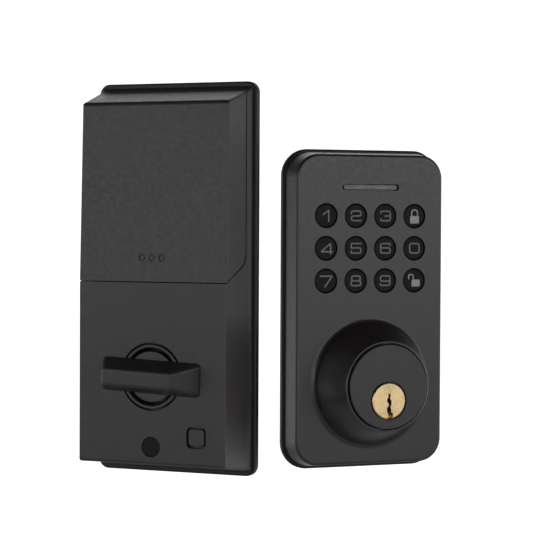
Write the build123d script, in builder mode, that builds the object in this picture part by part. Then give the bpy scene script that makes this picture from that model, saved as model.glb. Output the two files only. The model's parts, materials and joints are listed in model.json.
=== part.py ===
"""Keypad smart lock: the exterior keypad unit and the interior battery unit, side by side.

Millimetres, +Z up. The exterior unit faces -Y with the axis of its key plug through the origin,
and its back lies in the plane Y = 0. The interior unit stands on the same level, turned about Z.
Each unit is drawn on its own door plane: x to the right, y up, and n outward from the door.
"""

import os
from math import acos, cos, degrees, pi, radians, sin, tan

from build123d import *

os.makedirs("parts", exist_ok=True)

# ---- driving dimensions -------------------------------------------------------------------
floor_below_plug = 30.1  # both units stand on this level
bolt_spacing = 41.0  # through bolts of a deadbolt, side by side
bolt_x = bolt_spacing / 2
bolt_thread_r = 2.1

# exterior unit
out_w, out_h, out_r = 71.5, 134.0, 11.2
out_mid = out_h / 2 - floor_below_plug
gasket_n, base_n, face_n = 1.0, 3.2, 12.9
wall = 2.0
panel_inner_n = face_n - 2.2
collar_y = 5.8
collar_r, collar_bore_r, collar_foot_r, collar_n = 18.65, 18.1, 27.4, 30.1
lip_r, lip_n = 18.95, 29.7
shelf_low_n, shelf_n = 24.0, 26.0
disc_r, disc_n = 17.4, 31.3
disc_hole_r, disc_recess_r, disc_recess = 7.6, 8.15, 0.9
plug_head_r, plug_head_n = 7.45, 31.6
plug_r, plug_bore_r, plug_back_n = 6.5, 6.55, 1.2
pin_r, pin_hole_r, pin_pitch, first_pin_n, pin_count = 1.4, 1.5, 3.9, 6.4, 5
key_pitch, key_top_y = 13.57, 76.05
key_cap_r, key_hole_r = 4.85, 5.2
key_skirt_r, key_skirt_n = 5.9, 9.4
light_y, light_w, light_h = 88.0, 26.2, 2.6

# interior unit
in_turn = -46.29
in_w, in_h, in_r = 72.0, 160.4, 4.5
spindle_up = 41.0
in_mid = in_h / 2 - spindle_up
flange_n, rim_n, front_n = 3.1, 6.0, 25.6
shell = 1.8
rim_box = (68.9, -38.9, 117.5)  # width, lowest y and highest y where the shell meets the flange
step_box = (68.1, -38.15, 115.7)  # the same at the top of the rim
front_box = (65.8, -35.5, 109.7)  # the same at the front
parting_y, parting_n = 38.05, 8.4  # the battery cover stands above and in front of these
cover_top_y, cover_top_n = 109.6, 22.9
gap, side_gap = 0.36, 0.8  # between the housing and the battery cover, on the front and the sides
deck_low_n = 4.2
front_wall = 1.7
inside_n = front_n - front_wall
button_x, button_y = 20.2, 17.2 - spindle_up
screw_y = 12.6 - spindle_up
cell_r, cell_len, cell_low_y = 7.25, 50.5, 45.0
cell_n = 14.1
cell_x = (-21.9, -7.3, 7.3, 21.9)

# gear train: layer heights (low, high), teeth and modules
layer_a, layer_b, layer_c = (6.0, 9.0), (9.7, 11.7), (12.3, 14.3)
pressure = radians(25)
slack = 0.06  # each tooth is thinner than half the pitch by this much
out_teeth, out_module = 40, 0.8
small_teeth = 12
big_teeth, two_module, one_module = 36, 0.6, 0.5
two_angle, one_angle, motor_angle = 120, 20, 0
axle_r, axle_bore_r = 1.0, 1.06

# ---- planes and helpers -------------------------------------------------------------------
door_out = Plane(origin=(0, 0, 0), x_dir=(1, 0, 0), z_dir=(0, -1, 0))
door_in = Plane(
    origin=(-77.87, 6.61, spindle_up - floor_below_plug),
    x_dir=(cos(radians(in_turn)), sin(radians(in_turn)), 0),
    z_dir=(sin(radians(in_turn)), -cos(radians(in_turn)), 0),
)

in_axis = Axis(door_in.origin, door_in.z_dir)


def upright(door, x, y):
    """Plane through a point of the door plane, its x along the door's x and its y outward."""
    return Plane(origin=door.from_local_coords((x, y, 0)), x_dir=door.x_dir, z_dir=-door.y_dir)


def side(door):
    """Plane across the unit: x outward from the door and y up."""
    return Plane(origin=door.origin, x_dir=door.z_dir, z_dir=-door.x_dir)


def outward(door, x, y):
    """Axis through a point of the door plane, along its normal."""
    return Axis(door.from_local_coords((x, y, 0)), door.z_dir)


def polar(radius, angle):
    return (radius * cos(radians(angle)), radius * sin(radians(angle)))


def turned_solid(door, x, y, points):
    """Solid of revolution about an outward axis, from its (radius, height) outline."""
    with BuildPart() as solid:
        with BuildSketch(upright(door, x, y)):
            with BuildLine():
                Polyline(*points, close=True)
            make_face()
        revolve(axis=outward(door, x, y))
    return solid.part


def tapered_solid(door, low, low_box, high, high_box, corner, shrink=0.0):
    """Straight loft between two rectangles given as (width, lowest y, highest y)."""
    with BuildPart() as solid:
        for height, (width, bottom, top) in ((low, low_box), (high, high_box)):
            with BuildSketch(door.offset(height)):
                with Locations((0, (bottom + top) / 2)):
                    RectangleRounded(width - 2 * shrink, top - bottom - 2 * shrink, corner)
        loft(ruled=True)
    return solid.part


def involute(angle):
    return tan(angle) - angle


def gear_solid(door, x, y, teeth, module, tooth_angle, low, high):
    """Spur gear with one tooth centred on tooth_angle."""
    pitch_r = teeth * module / 2
    base_r = pitch_r * cos(pressure)
    tip_r = pitch_r + 0.92 * module
    root_r = pitch_r - 1.2 * module
    start_r = max(base_r, root_r) + 0.001
    half_pitch = pi / (2 * teeth) - slack / (2 * pitch_r) + involute(pressure)

    def flank(radius):
        return degrees(half_pitch - involute(acos(base_r / radius)))

    middle_r = (start_r + tip_r) / 2
    with BuildPart() as solid:
        with BuildSketch(Plane(door.from_local_coords((x, y, low)), door.x_dir, door.z_dir)):
            with BuildLine():
                for tooth in range(teeth):
                    centre = tooth_angle + tooth * 360 / teeth
                    following = centre + 360 / teeth
                    rise = [polar(r, centre - flank(r)) for r in (start_r, middle_r, tip_r)]
                    fall = [polar(r, centre + flank(r)) for r in (tip_r, middle_r, start_r)]
                    foot = polar(root_r, centre + flank(start_r))
                    next_foot = polar(root_r, following - flank(start_r))
                    Line(polar(root_r, centre - flank(start_r)), rise[0])
                    ThreePointArc(*rise)
                    Line(rise[2], fall[0])
                    ThreePointArc(*fall)
                    Line(fall[2], foot)
                    Line(foot, next_foot)
            make_face()
        extrude(amount=high - low)
    return solid.part


def finish(part, name):
    part.label = name
    export_step(part, f"parts/{name}.step")


# ==== exterior unit ========================================================================

grommet_y, grommet_w, grommet_h = -16.2, 14.0, 7.6
screw_places = ((-25.2, -19.5), (25.2, -19.5), (-25.2, 94.2), (25.2, 94.2))
barrel_hole_r = 8.0

# The gasket is a thin pad that seals the unit to the door.
with BuildPart() as exterior_gasket:
    with BuildSketch(door_out):
        with Locations((0, out_mid)):
            RectangleRounded(out_w - 0.6, out_h - 0.6, out_r - 0.3)
        Circle(barrel_hole_r, mode=Mode.SUBTRACT)
        with Locations((-bolt_x, 0), (bolt_x, 0)):
            Circle(4.2, mode=Mode.SUBTRACT)
        with Locations(*screw_places):
            Circle(3.2, mode=Mode.SUBTRACT)
        with Locations((0, grommet_y)):
            RectangleRounded(grommet_w + 0.6, grommet_h + 0.6, 3, mode=Mode.SUBTRACT)
    extrude(amount=gasket_n)
finish(exterior_gasket.part, "exterior_gasket")

# The base plate carries the cylinder, the bolt posts and the keypad board.
with BuildPart() as exterior_base:
    with BuildSketch(door_out.offset(gasket_n)):
        with Locations((0, out_mid)):
            RectangleRounded(out_w, out_h, out_r)
    extrude(amount=base_n - gasket_n)
    chamfer(exterior_base.faces().sort_by(Axis.Y)[0].outer_wire().edges(), 0.5)
    with BuildSketch(door_out.offset(base_n)):
        with Locations((0, out_mid)):
            RectangleRounded(63.6, 126.7, 8.6)
            RectangleRounded(60.6, 123.7, 7.1, mode=Mode.SUBTRACT)
    extrude(amount=1.4)
    with BuildSketch(door_out.offset(base_n)):
        with Locations((-24, 34), (24, 34), (-24, 88), (24, 88)):
            Circle(2.2)
    extrude(amount=0.4)
    with BuildSketch(door_out.offset(gasket_n)):
        Circle(barrel_hole_r)
        with Locations((-bolt_x, 0), (bolt_x, 0)):
            Circle(3)
        with Locations((0, grommet_y)):
            RectangleRounded(grommet_w - 2, grommet_h - 1.6, 2)
        with Locations(*screw_places):
            Circle(1.3)
    extrude(amount=base_n - gasket_n, mode=Mode.SUBTRACT)
    with BuildSketch(door_out.offset(gasket_n)):
        with Locations(*screw_places):
            Circle(2.7)
    extrude(amount=1.2, mode=Mode.SUBTRACT)
finish(exterior_base.part, "exterior_base")

# The rubber grommet lines the cable hole of the base plate.
with BuildPart() as cable_grommet:
    with BuildSketch(door_out.offset(0.2)):
        with Locations((0, grommet_y)):
            RectangleRounded(grommet_w, grommet_h, 2.8)
    extrude(amount=0.8)
    with BuildSketch(door_out.offset(gasket_n)):
        with Locations((0, grommet_y)):
            RectangleRounded(grommet_w - 2, grommet_h - 1.6, 2)
    extrude(amount=base_n + 0.8 - gasket_n)
    with BuildSketch(door_out.offset(0)):
        with Locations((0, grommet_y)):
            RectangleRounded(grommet_w - 4, grommet_h - 3, 1.4)
    extrude(amount=5, mode=Mode.SUBTRACT)
finish(cable_grommet.part, "cable_grommet")

# Outline of the collar: a bell that flows out of the face plate.
collar_outer = [(collar_foot_r, face_n), (25.3, 15.7), (22.75, 21.9), (lip_r, lip_n)]

with BuildPart() as collar:
    with BuildSketch(upright(door_out, 0, collar_y)):
        with BuildLine():
            Line((0, panel_inner_n), (collar_foot_r, panel_inner_n))
            Line((collar_foot_r, panel_inner_n), collar_outer[0])
            TangentArc(collar_outer[0], collar_outer[1], tangent=(-1, 0))
            ThreePointArc(collar_outer[1], collar_outer[2], collar_outer[3])
            Line(collar_outer[3], (collar_r, collar_n))
            Line((collar_r, collar_n), (0, collar_n))
            Line((0, collar_n), (0, panel_inner_n))
        make_face()
    revolve(axis=outward(door_out, 0, collar_y))

with BuildPart() as collar_hollow:
    with BuildSketch(upright(door_out, 0, collar_y)):
        with BuildLine():
            Polyline((0, 4), (23.3, 4), (23.3, 15.4))
            ThreePointArc((23.3, 15.4), (21.5, 20.2), (19.7, shelf_low_n))
            Polyline((19.7, shelf_low_n), (0, shelf_low_n), (0, 4))
        make_face()
    revolve(axis=outward(door_out, 0, collar_y))

house_low = (69.3, out_mid - 65.9, out_mid + 65.9)
house_high = (66.8, out_mid - 64.7, out_mid + 64.7)

with BuildPart() as house_block:
    for height, (width, bottom, top), corner in ((base_n, house_low, 10.4), (face_n, house_high, 9.8)):
        with BuildSketch(door_out.offset(height)):
            with Locations((0, (bottom + top) / 2)):
                RectangleRounded(width, top - bottom, corner)
    loft(ruled=True)
    fillet(house_block.faces().sort_by(Axis.Y)[0].outer_wire().edges(), 1.1)

with BuildPart() as house_hollow:
    for height, (width, bottom, top), corner in (
        (base_n, house_low, 8.4),
        (panel_inner_n, house_high, 7.8),
    ):
        with BuildSketch(door_out.offset(height)):
            with Locations((0, (bottom + top) / 2)):
                RectangleRounded(width - 2 * wall, top - bottom - 2 * wall, corner)
    loft(ruled=True)

key_places = [
    ((column - 1.5) * key_pitch, key_top_y - row * key_pitch)
    for row in range(3)
    for column in range(4)
]
key_names = (
    ("key_1", "key_2", "key_3", "key_lock")
    + ("key_4", "key_5", "key_6", "key_0")
    + ("key_7", "key_8", "key_9", "key_unlock")
)

with BuildPart() as exterior_housing:
    add(house_block.part)
    add(collar.part)
    add(house_hollow.part, mode=Mode.SUBTRACT)
    add(collar_hollow.part, mode=Mode.SUBTRACT)
    # collar mouth for the face disc, and the way through the shelf for the cylinder
    with BuildSketch(door_out.offset(shelf_n)):
        with Locations((0, collar_y)):
            Circle(collar_bore_r)
    extrude(amount=8, mode=Mode.SUBTRACT)
    with BuildSketch(door_out.offset(shelf_low_n)):
        Circle(9.8)
        with Locations((0, 9.2)):
            Rectangle(10.6, 18.4)
    extrude(amount=shelf_n - shelf_low_n, mode=Mode.SUBTRACT)
    # key holes, and the window of the status light
    with BuildSketch(door_out.offset(panel_inner_n)):
        with Locations(*key_places):
            Circle(key_hole_r)
        with Locations((0, light_y)):
            RectangleRounded(light_w, light_h, 1.2)
    extrude(amount=4, mode=Mode.SUBTRACT)
    # screw bosses
    with BuildSketch(door_out.offset(base_n)):
        with Locations(*screw_places):
            Circle(3)
    extrude(amount=panel_inner_n - base_n + 0.5)
    with BuildSketch(door_out.offset(base_n)):
        with Locations(*screw_places):
            Circle(1.3)
    extrude(amount=5.2, mode=Mode.SUBTRACT)
finish(exterior_housing.part, "exterior_housing")

# Countersunk screws hold the base plate to the housing's bosses.
with BuildPart() as exterior_screws:
    with BuildSketch(door_out.offset(gasket_n)):
        with Locations(*screw_places):
            Circle(2.65)
    extrude(amount=1.2)
    with BuildSketch(door_out.offset(gasket_n)):
        with Locations(*screw_places):
            RegularPolygon(1.1, 6)
    extrude(amount=0.7, mode=Mode.SUBTRACT)
    with BuildSketch(door_out.offset(gasket_n + 1.2)):
        with Locations(*screw_places):
            Circle(1.3)
    extrude(amount=5.8)
finish(exterior_screws.part, "exterior_screws")


# Each key is a round cap with a retaining rim behind the face plate and a stem to the mat.
for key_name, (key_x, key_y) in zip(key_names, key_places):
    with BuildPart() as key:
        with BuildSketch(door_out.offset(key_skirt_n)):
            with Locations((key_x, key_y)):
                Circle(key_cap_r)
        extrude(amount=face_n - 0.3 - key_skirt_n)
        fillet(key.faces().sort_by(Axis.Y)[0].edges(), 0.5)
        with BuildSketch(door_out.offset(key_skirt_n)):
            with Locations((key_x, key_y)):
                Circle(key_skirt_r)
        extrude(amount=0.9)
        with BuildSketch(door_out.offset(7.0)):
            with Locations((key_x, key_y)):
                Circle(1.6)
        extrude(amount=key_skirt_n - 7.0)
    finish(key.part, key_name)

# The rubber mat has one dome behind each key.
with BuildPart() as keypad_mat:
    with BuildSketch(door_out.offset(4.8)):
        with Locations((0, key_top_y - key_pitch)):
            RectangleRounded(54.5, 41.0, 2)
    extrude(amount=0.6)
    with BuildSketch(door_out.offset(5.4)):
        with Locations(*key_places):
            Circle(3.4)
    extrude(amount=0.6, taper=40)
finish(keypad_mat.part, "keypad_mat")

with BuildPart() as keypad_board:
    with BuildSketch(door_out.offset(3.6)):
        with Locations((0, 60.3)):
            RectangleRounded(56.5, 61.0, 2)
        with Locations((-24, 34), (24, 34), (-24, 88), (24, 88)):
            Circle(1.1, mode=Mode.SUBTRACT)
    extrude(amount=1.2)
finish(keypad_board.part, "keypad_board")

# The connector housing has a row of open contact slots.
with BuildPart() as keypad_connector:
    with BuildSketch(door_out.offset(4.8)):
        with Locations((0, 35.0)):
            Rectangle(13.0, 5.2)
    extrude(amount=3.0)
    with BuildSketch(door_out.offset(5.8)):
        with Locations((0, 34.6)):
            with GridLocations(1.9, 1, 6, 1):
                Rectangle(1.2, 2.6)
    extrude(amount=3.0, mode=Mode.SUBTRACT)
finish(keypad_connector.part, "keypad_connector")

# The light bar is a clear guide: a foot over the board and a thin strip in the window.
with BuildPart() as status_light_bar:
    with BuildSketch(door_out.offset(6.2)):
        with Locations((0, light_y)):
            RectangleRounded(light_w + 3.0, 4.6, 1.0)
    extrude(amount=panel_inner_n - 6.2)
    with BuildSketch(door_out.offset(panel_inner_n)):
        with Locations((0, light_y)):
            RectangleRounded(light_w - 1.7, light_h - 1.0, 0.75)
    extrude(amount=face_n - 0.3 - panel_inner_n)
finish(status_light_bar.part, "status_light_bar")

# The face disc closes the collar round the plug.
with BuildPart() as cylinder_face:
    with BuildSketch(door_out.offset(shelf_n)):
        with Locations((0, collar_y)):
            Circle(disc_r)
        Circle(disc_hole_r, mode=Mode.SUBTRACT)
    extrude(amount=disc_n - shelf_n)
    chamfer(cylinder_face.faces().sort_by(Axis.Y)[0].outer_wire().edges(), 0.25)
    with BuildSketch(door_out.offset(disc_n - disc_recess)):
        Circle(disc_recess_r)
    extrude(amount=disc_recess, mode=Mode.SUBTRACT)
finish(cylinder_face.part, "cylinder_face")

pin_heights = [first_pin_n + index * pin_pitch for index in range(pin_count)]

# The cylinder body: a barrel for the plug under a chamber block for the pins.
with BuildPart() as cylinder_body:
    with BuildSketch(door_out.offset(base_n)):
        Circle(9.5)
        with Locations((0, 9.0)):
            Rectangle(10.0, 18.0)
    extrude(amount=shelf_n - base_n)
    with BuildSketch(door_out.offset(base_n)):
        Circle(13)
    extrude(amount=2)
    with BuildSketch(door_out.offset(base_n)):
        Circle(plug_bore_r)
    extrude(amount=shelf_n - base_n, mode=Mode.SUBTRACT)
    for pin_n in pin_heights:
        with Locations(Plane(door_out.from_local_coords((0, 5.0, pin_n)), z_dir=(0, 0, 1))):
            Cylinder(
                pin_hole_r, 11.5, align=(Align.CENTER, Align.CENTER, Align.MIN), mode=Mode.SUBTRACT
            )
finish(cylinder_body.part, "cylinder_body")

# The plug turns in the body. Its keyway is a wavy slot, open along the bottom.
keyway_right = [(0.75, 2.9), (0.6, 1.5), (0.45, 0.9), (1.05, 0.1), (1.1, -1.4), (0.55, -2.4)]
keyway_foot = [(0.95, -3.5), (1.0, -4.5), (1.8, -5.3), (1.8, -9), (-0.4, -9), (-0.4, -5.3)]
keyway_left = [(-0.9, -4.3), (-0.9, -2.9), (-0.15, -2.1), (-0.15, -1.1), (-0.9, -0.3), (-0.9, 0.7)]
keyway_head = [(-0.3, 1.5), (-0.35, 2.9)]
with BuildPart() as key_plug:
    with BuildSketch(door_out.offset(plug_back_n)):
        Circle(plug_r)
    extrude(amount=shelf_n - plug_back_n)
    with BuildSketch(door_out.offset(2.0)):
        Circle(9)
        Circle(5.4, mode=Mode.SUBTRACT)
    extrude(amount=1.0, mode=Mode.SUBTRACT)
    with BuildSketch(door_out.offset(shelf_n + 0.1)):
        Circle(plug_head_r)
    extrude(amount=plug_head_n - shelf_n - 0.1)
    with BuildSketch(door_out.offset(shelf_n)):
        Circle(plug_r)
    extrude(amount=0.1)
    chamfer(key_plug.faces().sort_by(Axis.Y)[0].edges(), 0.3)
    with BuildSketch(door_out.offset(3.0)):
        with BuildLine():
            Polyline(*keyway_right, *keyway_foot, *keyway_left, *keyway_head, close=True)
        make_face()
    extrude(amount=30, mode=Mode.SUBTRACT)
    for pin_n in pin_heights:
        with Locations(Plane(door_out.from_local_coords((0, 1.2, pin_n)), z_dir=(0, 0, 1))):
            Cylinder(
                pin_hole_r, 6, align=(Align.CENTER, Align.CENTER, Align.MIN), mode=Mode.SUBTRACT
            )
finish(key_plug.part, "key_plug")


def pin_row(low_y, high_y, radius, inner=0.0):
    """One upright round solid over each pin position."""
    with BuildPart() as row:
        for pin_n in pin_heights:
            with BuildSketch(Plane(door_out.from_local_coords((0, low_y, pin_n)), z_dir=(0, 0, 1))):
                Circle(radius)
                if inner:
                    Circle(inner, mode=Mode.SUBTRACT)
            extrude(amount=high_y - low_y)
    return row.part


finish(pin_row(1.7, plug_r - 0.35, pin_r), "key_pins")
finish(pin_row(plug_r + 0.35, 10.5, pin_r), "driver_pins")
finish(pin_row(10.5, 16.3, 1.3, 0.9), "pin_springs")

# A spring clip in the plug's groove keeps it in the body.
with BuildPart() as plug_retainer:
    with BuildSketch(door_out.offset(2.0)):
        Circle(7.6)
        Circle(5.4, mode=Mode.SUBTRACT)
        with Locations((0, -7)):
            Rectangle(6.5, 8, mode=Mode.SUBTRACT)
    extrude(amount=1.0)
finish(plug_retainer.part, "plug_retainer")

blade_w, blade_t, blade_len = 8.0, 2.4, 60.0
with BuildPart() as tailpiece:
    with BuildSketch(door_out.offset(-0.4)):
        Circle(6.2)
    extrude(amount=plug_back_n + 0.4)
    with BuildSketch(door_out.offset(-blade_len)):
        Rectangle(blade_w, blade_t)
    extrude(amount=blade_len - 0.4)
    tip_edges = tailpiece.faces().sort_by(Axis.Y)[-1].edges().filter_by(Axis.Z)
    chamfer(tip_edges, 1.2)
finish(tailpiece.part, "tailpiece")

# Threaded posts take the through bolts that come from the interior side.
with BuildPart() as exterior_bolt_posts:
    with BuildSketch(door_out.offset(-20)):
        with Locations((-bolt_x, 0), (bolt_x, 0)):
            Circle(3.6)
    extrude(amount=20 + gasket_n)
    with BuildSketch(door_out.offset(gasket_n)):
        with Locations((-bolt_x, 0), (bolt_x, 0)):
            Circle(3.0)
    extrude(amount=base_n - gasket_n)
    with BuildSketch(door_out.offset(base_n)):
        with Locations((-bolt_x, 0), (bolt_x, 0)):
            RegularPolygon(4.8, 6)
    extrude(amount=1.4)
    with BuildSketch(door_out.offset(-20)):
        with Locations((-bolt_x, 0), (bolt_x, 0)):
            Circle(bolt_thread_r)
    extrude(amount=21, mode=Mode.SUBTRACT)
finish(exterior_bolt_posts.part, "exterior_bolt_posts")

# ==== interior unit ========================================================================

cable_y, cable_w, cable_h = -17.0, 18.0, 8.0
upper_screws = ((-24.0, 103.5), (24.0, 103.5))
plate_w, plate_h, plate_mid = 56.0, 120.0, 30.0

# The steel mounting plate is bolted to the door, and the unit is screwed to it.
with BuildPart() as mounting_plate:
    with BuildSketch(door_in):
        with Locations((0, plate_mid)):
            RectangleRounded(plate_w, plate_h, 4)
        Circle(7.6, mode=Mode.SUBTRACT)
        with Locations((-bolt_x, 0), (bolt_x, 0)):
            Circle(2.6, mode=Mode.SUBTRACT)
        with Locations((0, cable_y)):
            RectangleRounded(cable_w, cable_h, 2, mode=Mode.SUBTRACT)
        with Locations((0, 60)):
            SlotCenterToCenter(30, 12, rotation=90, mode=Mode.SUBTRACT)
    extrude(amount=1.5)
finish(mounting_plate.part, "mounting_plate")

post_n = front_n - 6.9

# The base: a flange round the unit, a rear pocket for the plate and a rib that locates the shell.
with BuildPart() as interior_base:
    with BuildSketch(door_in):
        with Locations((0, in_mid)):
            RectangleRounded(in_w, in_h, in_r)
    extrude(amount=flange_n)
    front_face = interior_base.faces().sort_by(in_axis)[-1]
    fillet(front_face.outer_wire().edges(), 0.7)
    with BuildSketch(door_in):
        with Locations((0, plate_mid)):
            RectangleRounded(plate_w + 0.6, plate_h + 0.6, 4.3)
    extrude(amount=1.6, mode=Mode.SUBTRACT)
    with BuildSketch(door_in.offset(flange_n)):
        with Locations((0, in_mid)):
            RectangleRounded(61.6, 148.0, 2)
            RectangleRounded(58.6, 145.0, 1, mode=Mode.SUBTRACT)
        with Locations(*upper_screws):
            Circle(4)
    extrude(amount=deck_low_n - flange_n)
    with BuildSketch(door_in.offset(flange_n)):
        with Locations((0, screw_y)):
            Circle(3.2)
    extrude(amount=post_n - flange_n)
    with BuildSketch(door_in.offset(1.6)):
        Circle(7.6)
        with Locations((-bolt_x, 0), (bolt_x, 0)):
            Circle(6)
        with Locations((0, cable_y)):
            RectangleRounded(cable_w, cable_h, 2)
    extrude(amount=flange_n - 1.6, mode=Mode.SUBTRACT)
    with BuildSketch(door_in.offset(1.6)):
        with Locations((0, screw_y), *upper_screws):
            Circle(1.5)
    extrude(amount=30, mode=Mode.SUBTRACT)
finish(interior_base.part, "interior_base")

# Slopes of the shell's top, bottom and front, and the corner where the top meets the front.
top_slope = (front_box[2] - step_box[2]) / (front_n - rim_n)
bottom_slope = (front_box[1] - step_box[1]) / (front_n - rim_n)
front_slope = (cover_top_n - front_n) / (cover_top_y - parting_y)
top_corner_y = (front_box[2] - top_slope * front_slope * parting_y) / (1 - top_slope * front_slope)
top_corner_n = front_n + front_slope * (top_corner_y - parting_y)

# The closed outer form of the shell, before it is parted into housing and battery cover.
with BuildPart() as shell_block:
    add(tapered_solid(door_in, rim_n, step_box, front_n, front_box, 0.9))
    with BuildSketch(side(door_in)):
        with BuildLine():
            Polyline(
                (front_n, parting_y), (cover_top_n, cover_top_y), (cover_top_n - 1, cover_top_y + 25.4),
                (front_n + 5, cover_top_y + 25.4), (front_n + 5, parting_y), close=True,
            )
        make_face()
    extrude(amount=60, both=True, mode=Mode.SUBTRACT)

with BuildPart() as rounded_block:
    add(shell_block.part)
    front_faces = rounded_block.faces().sort_by(in_axis)[-2:]
    front_edges = [edge for face in front_faces for edge in face.outer_wire().edges()]
    outer_edges = [
        edge
        for edge in front_edges
        if abs(door_in.to_local_coords(edge @ 0).Y - door_in.to_local_coords(edge @ 1).Y) > 0.01
        or abs(door_in.to_local_coords(edge @ 0).Y - parting_y) > 0.01
    ]
    fillet(outer_edges, 0.5)
    # the level edges at the top and the bottom of the front are rounder than the sides
    for corner_n, corner_y, front_way, wall_way, radius in (
        (top_corner_n, top_corner_y, front_slope, -top_slope, 2.0),
        (front_n, front_box[1], 0.0, bottom_slope, 1.4),
    ):
        up = 1 if corner_y < parting_y else -1
        on_front = (corner_n + front_way * 4 * up, corner_y + 4 * up)
        on_wall = (corner_n - 4, corner_y - 4 * abs(wall_way) * up)
        with BuildSketch(side(door_in)):
            with BuildLine():
                FilletPolyline(on_front, (corner_n, corner_y), on_wall, radius=radius)
                Polyline(on_wall, (corner_n + 4, corner_y - 8 * up), on_front)
            make_face()
        extrude(amount=60, both=True, mode=Mode.SUBTRACT)

# The hollow of both shells, with the same walls all round.
with BuildPart() as shell_hollow:
    add(tapered_solid(door_in, rim_n, step_box, inside_n, front_box, 0.5, shrink=shell))
    with BuildSketch(side(door_in)):
        with BuildLine():
            Polyline(
                (inside_n, parting_y), (cover_top_n - front_wall, cover_top_y),
                (cover_top_n - 3, cover_top_y + 25.4), (front_n + 5, cover_top_y + 25.4),
                (front_n + 5, parting_y), close=True,
            )
        make_face()
    extrude(amount=60, both=True, mode=Mode.SUBTRACT)


def cover_zone(offset, side_offset):
    """The space of the battery cover: above the parting line, whose ends rise to the rear."""
    with BuildPart() as zone:
        with BuildSketch(side(door_in)):
            with BuildLine():
                FilletPolyline(
                    (front_n + 5, parting_y + offset), (front_n - 1.1, parting_y + offset),
                    (parting_n + 1.4 + side_offset, 45.4 + offset), (parting_n + side_offset, 49.0),
                    (parting_n + side_offset, 130), radius=1.2,
                )
                Polyline((parting_n + side_offset, 130), (front_n + 5, 130), (front_n + 5, parting_y + offset))
            make_face()
        extrude(amount=60, both=True)
    return zone.part


with BuildPart() as battery_cover:
    add(rounded_block.part)
    add(shell_hollow.part, mode=Mode.SUBTRACT)
    add(cover_zone(gap / 2, side_gap / 2), mode=Mode.INTERSECT)
    # three finger dots, each a ring groove round a low button
    with BuildSketch(door_in.offset(front_n - 0.8)):
        with Locations((-4.4, 47.85), (0, 47.85), (4.4, 47.85)):
            Circle(1.475)
            Circle(0.85, mode=Mode.SUBTRACT)
    extrude(amount=2, mode=Mode.SUBTRACT)
finish(battery_cover.part, "battery_cover")

turn_hole_r = 13.75
cap_hole = 8.65
board_n = post_n - 2.4
screw_head_n = front_n - 5.3

with BuildPart() as interior_housing:
    add(rounded_block.part)
    add(shell_hollow.part, mode=Mode.SUBTRACT)
    add(cover_zone(-gap / 2, -side_gap / 2), mode=Mode.SUBTRACT)
    # the rim that stands on the flange all round
    add(tapered_solid(door_in, flange_n, rim_box, rim_n, step_box, 0.9))
    with BuildSketch(door_in.offset(flange_n)):
        with Locations((0, in_mid + 0.15)):
            RectangleRounded(62.0, 148.6, 2)
    extrude(amount=deck_low_n - flange_n, mode=Mode.SUBTRACT)
    with BuildSketch(door_in.offset(deck_low_n)):
        with Locations((0, (35.6 - 35.3) / 2)):
            Rectangle(62.0, 35.6 + 35.3)
    extrude(amount=rim_n - deck_low_n, mode=Mode.SUBTRACT)
    # wall between the works and the batteries
    with BuildSketch(door_in.offset(rim_n - 0.5)):
        with Locations((0, 36.6)):
            Rectangle(62.0, 2)
    extrude(amount=inside_n - rim_n + 0.6)
    # boss round the hidden screw, and posts that hold the board
    with BuildSketch(door_in.offset(post_n)):
        with Locations((0, screw_y)):
            Circle(5.4)
    extrude(amount=inside_n - post_n + 0.3)
    with BuildSketch(door_in.offset(board_n + 1.2)):
        with Locations((-26.6, -20.6), (26.6, -20.6), (-26.6, -31.2), (26.6, -31.2)):
            Circle(1.8)
    extrude(amount=inside_n - board_n - 0.9)
    # openings of the front
    with BuildSketch(door_in.offset(inside_n - 1)):
        Circle(turn_hole_r)
        with Locations((button_x, button_y)):
            RectangleRounded(cap_hole, cap_hole, 2.2)
    extrude(amount=6, mode=Mode.SUBTRACT)
    with BuildSketch(door_in.offset(screw_head_n)):
        with Locations((0, screw_y)):
            Circle(4.15)
    extrude(amount=8, mode=Mode.SUBTRACT)
    with BuildSketch(door_in.offset(post_n)):
        with Locations((0, screw_y)):
            Circle(1.7)
    extrude(amount=3, mode=Mode.SUBTRACT)
    with BuildSketch(door_in.offset(flange_n)):
        with Locations(*upper_screws):
            Circle(1.7)
    extrude(amount=4, mode=Mode.SUBTRACT)
finish(interior_housing.part, "interior_housing")

# Screws: one under the round plug, two on the deck above the batteries.
with BuildPart() as interior_screws:
    with BuildSketch(door_in.offset(screw_head_n)):
        with Locations((0, screw_y)):
            Circle(3.0)
    extrude(amount=2.0)
    with BuildSketch(door_in.offset(screw_head_n + 1)):
        with Locations((0, screw_y)):
            RegularPolygon(1.3, 6)
    extrude(amount=2.0, mode=Mode.SUBTRACT)
    with BuildSketch(door_in.offset(6.0)):
        with Locations((0, screw_y)):
            Circle(1.5)
    extrude(amount=screw_head_n - 6.0)
    with BuildSketch(door_in.offset(rim_n)):
        with Locations(*upper_screws):
            Circle(2.8)
    extrude(amount=1.7)
    with BuildSketch(door_in.offset(rim_n + 0.7)):
        with Locations(*upper_screws):
            Rectangle(3.4, 0.8)
            Rectangle(0.8, 3.4)
    extrude(amount=2.0, mode=Mode.SUBTRACT)
    with BuildSketch(door_in.offset(1.8)):
        with Locations(*upper_screws):
            Circle(1.5)
    extrude(amount=rim_n - 1.8)
finish(interior_screws.part, "interior_screws")

# Soft plug that covers the screw.
with BuildPart() as screw_plug:
    with BuildSketch(door_in.offset(screw_head_n + 2.4)):
        with Locations((0, screw_y)):
            Circle(4.05)
    extrude(amount=2.7)
    rim_edge = screw_plug.edges().sort_by(in_axis)[-1]
    fillet(rim_edge, 0.3)
finish(screw_plug.part, "screw_plug")

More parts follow.
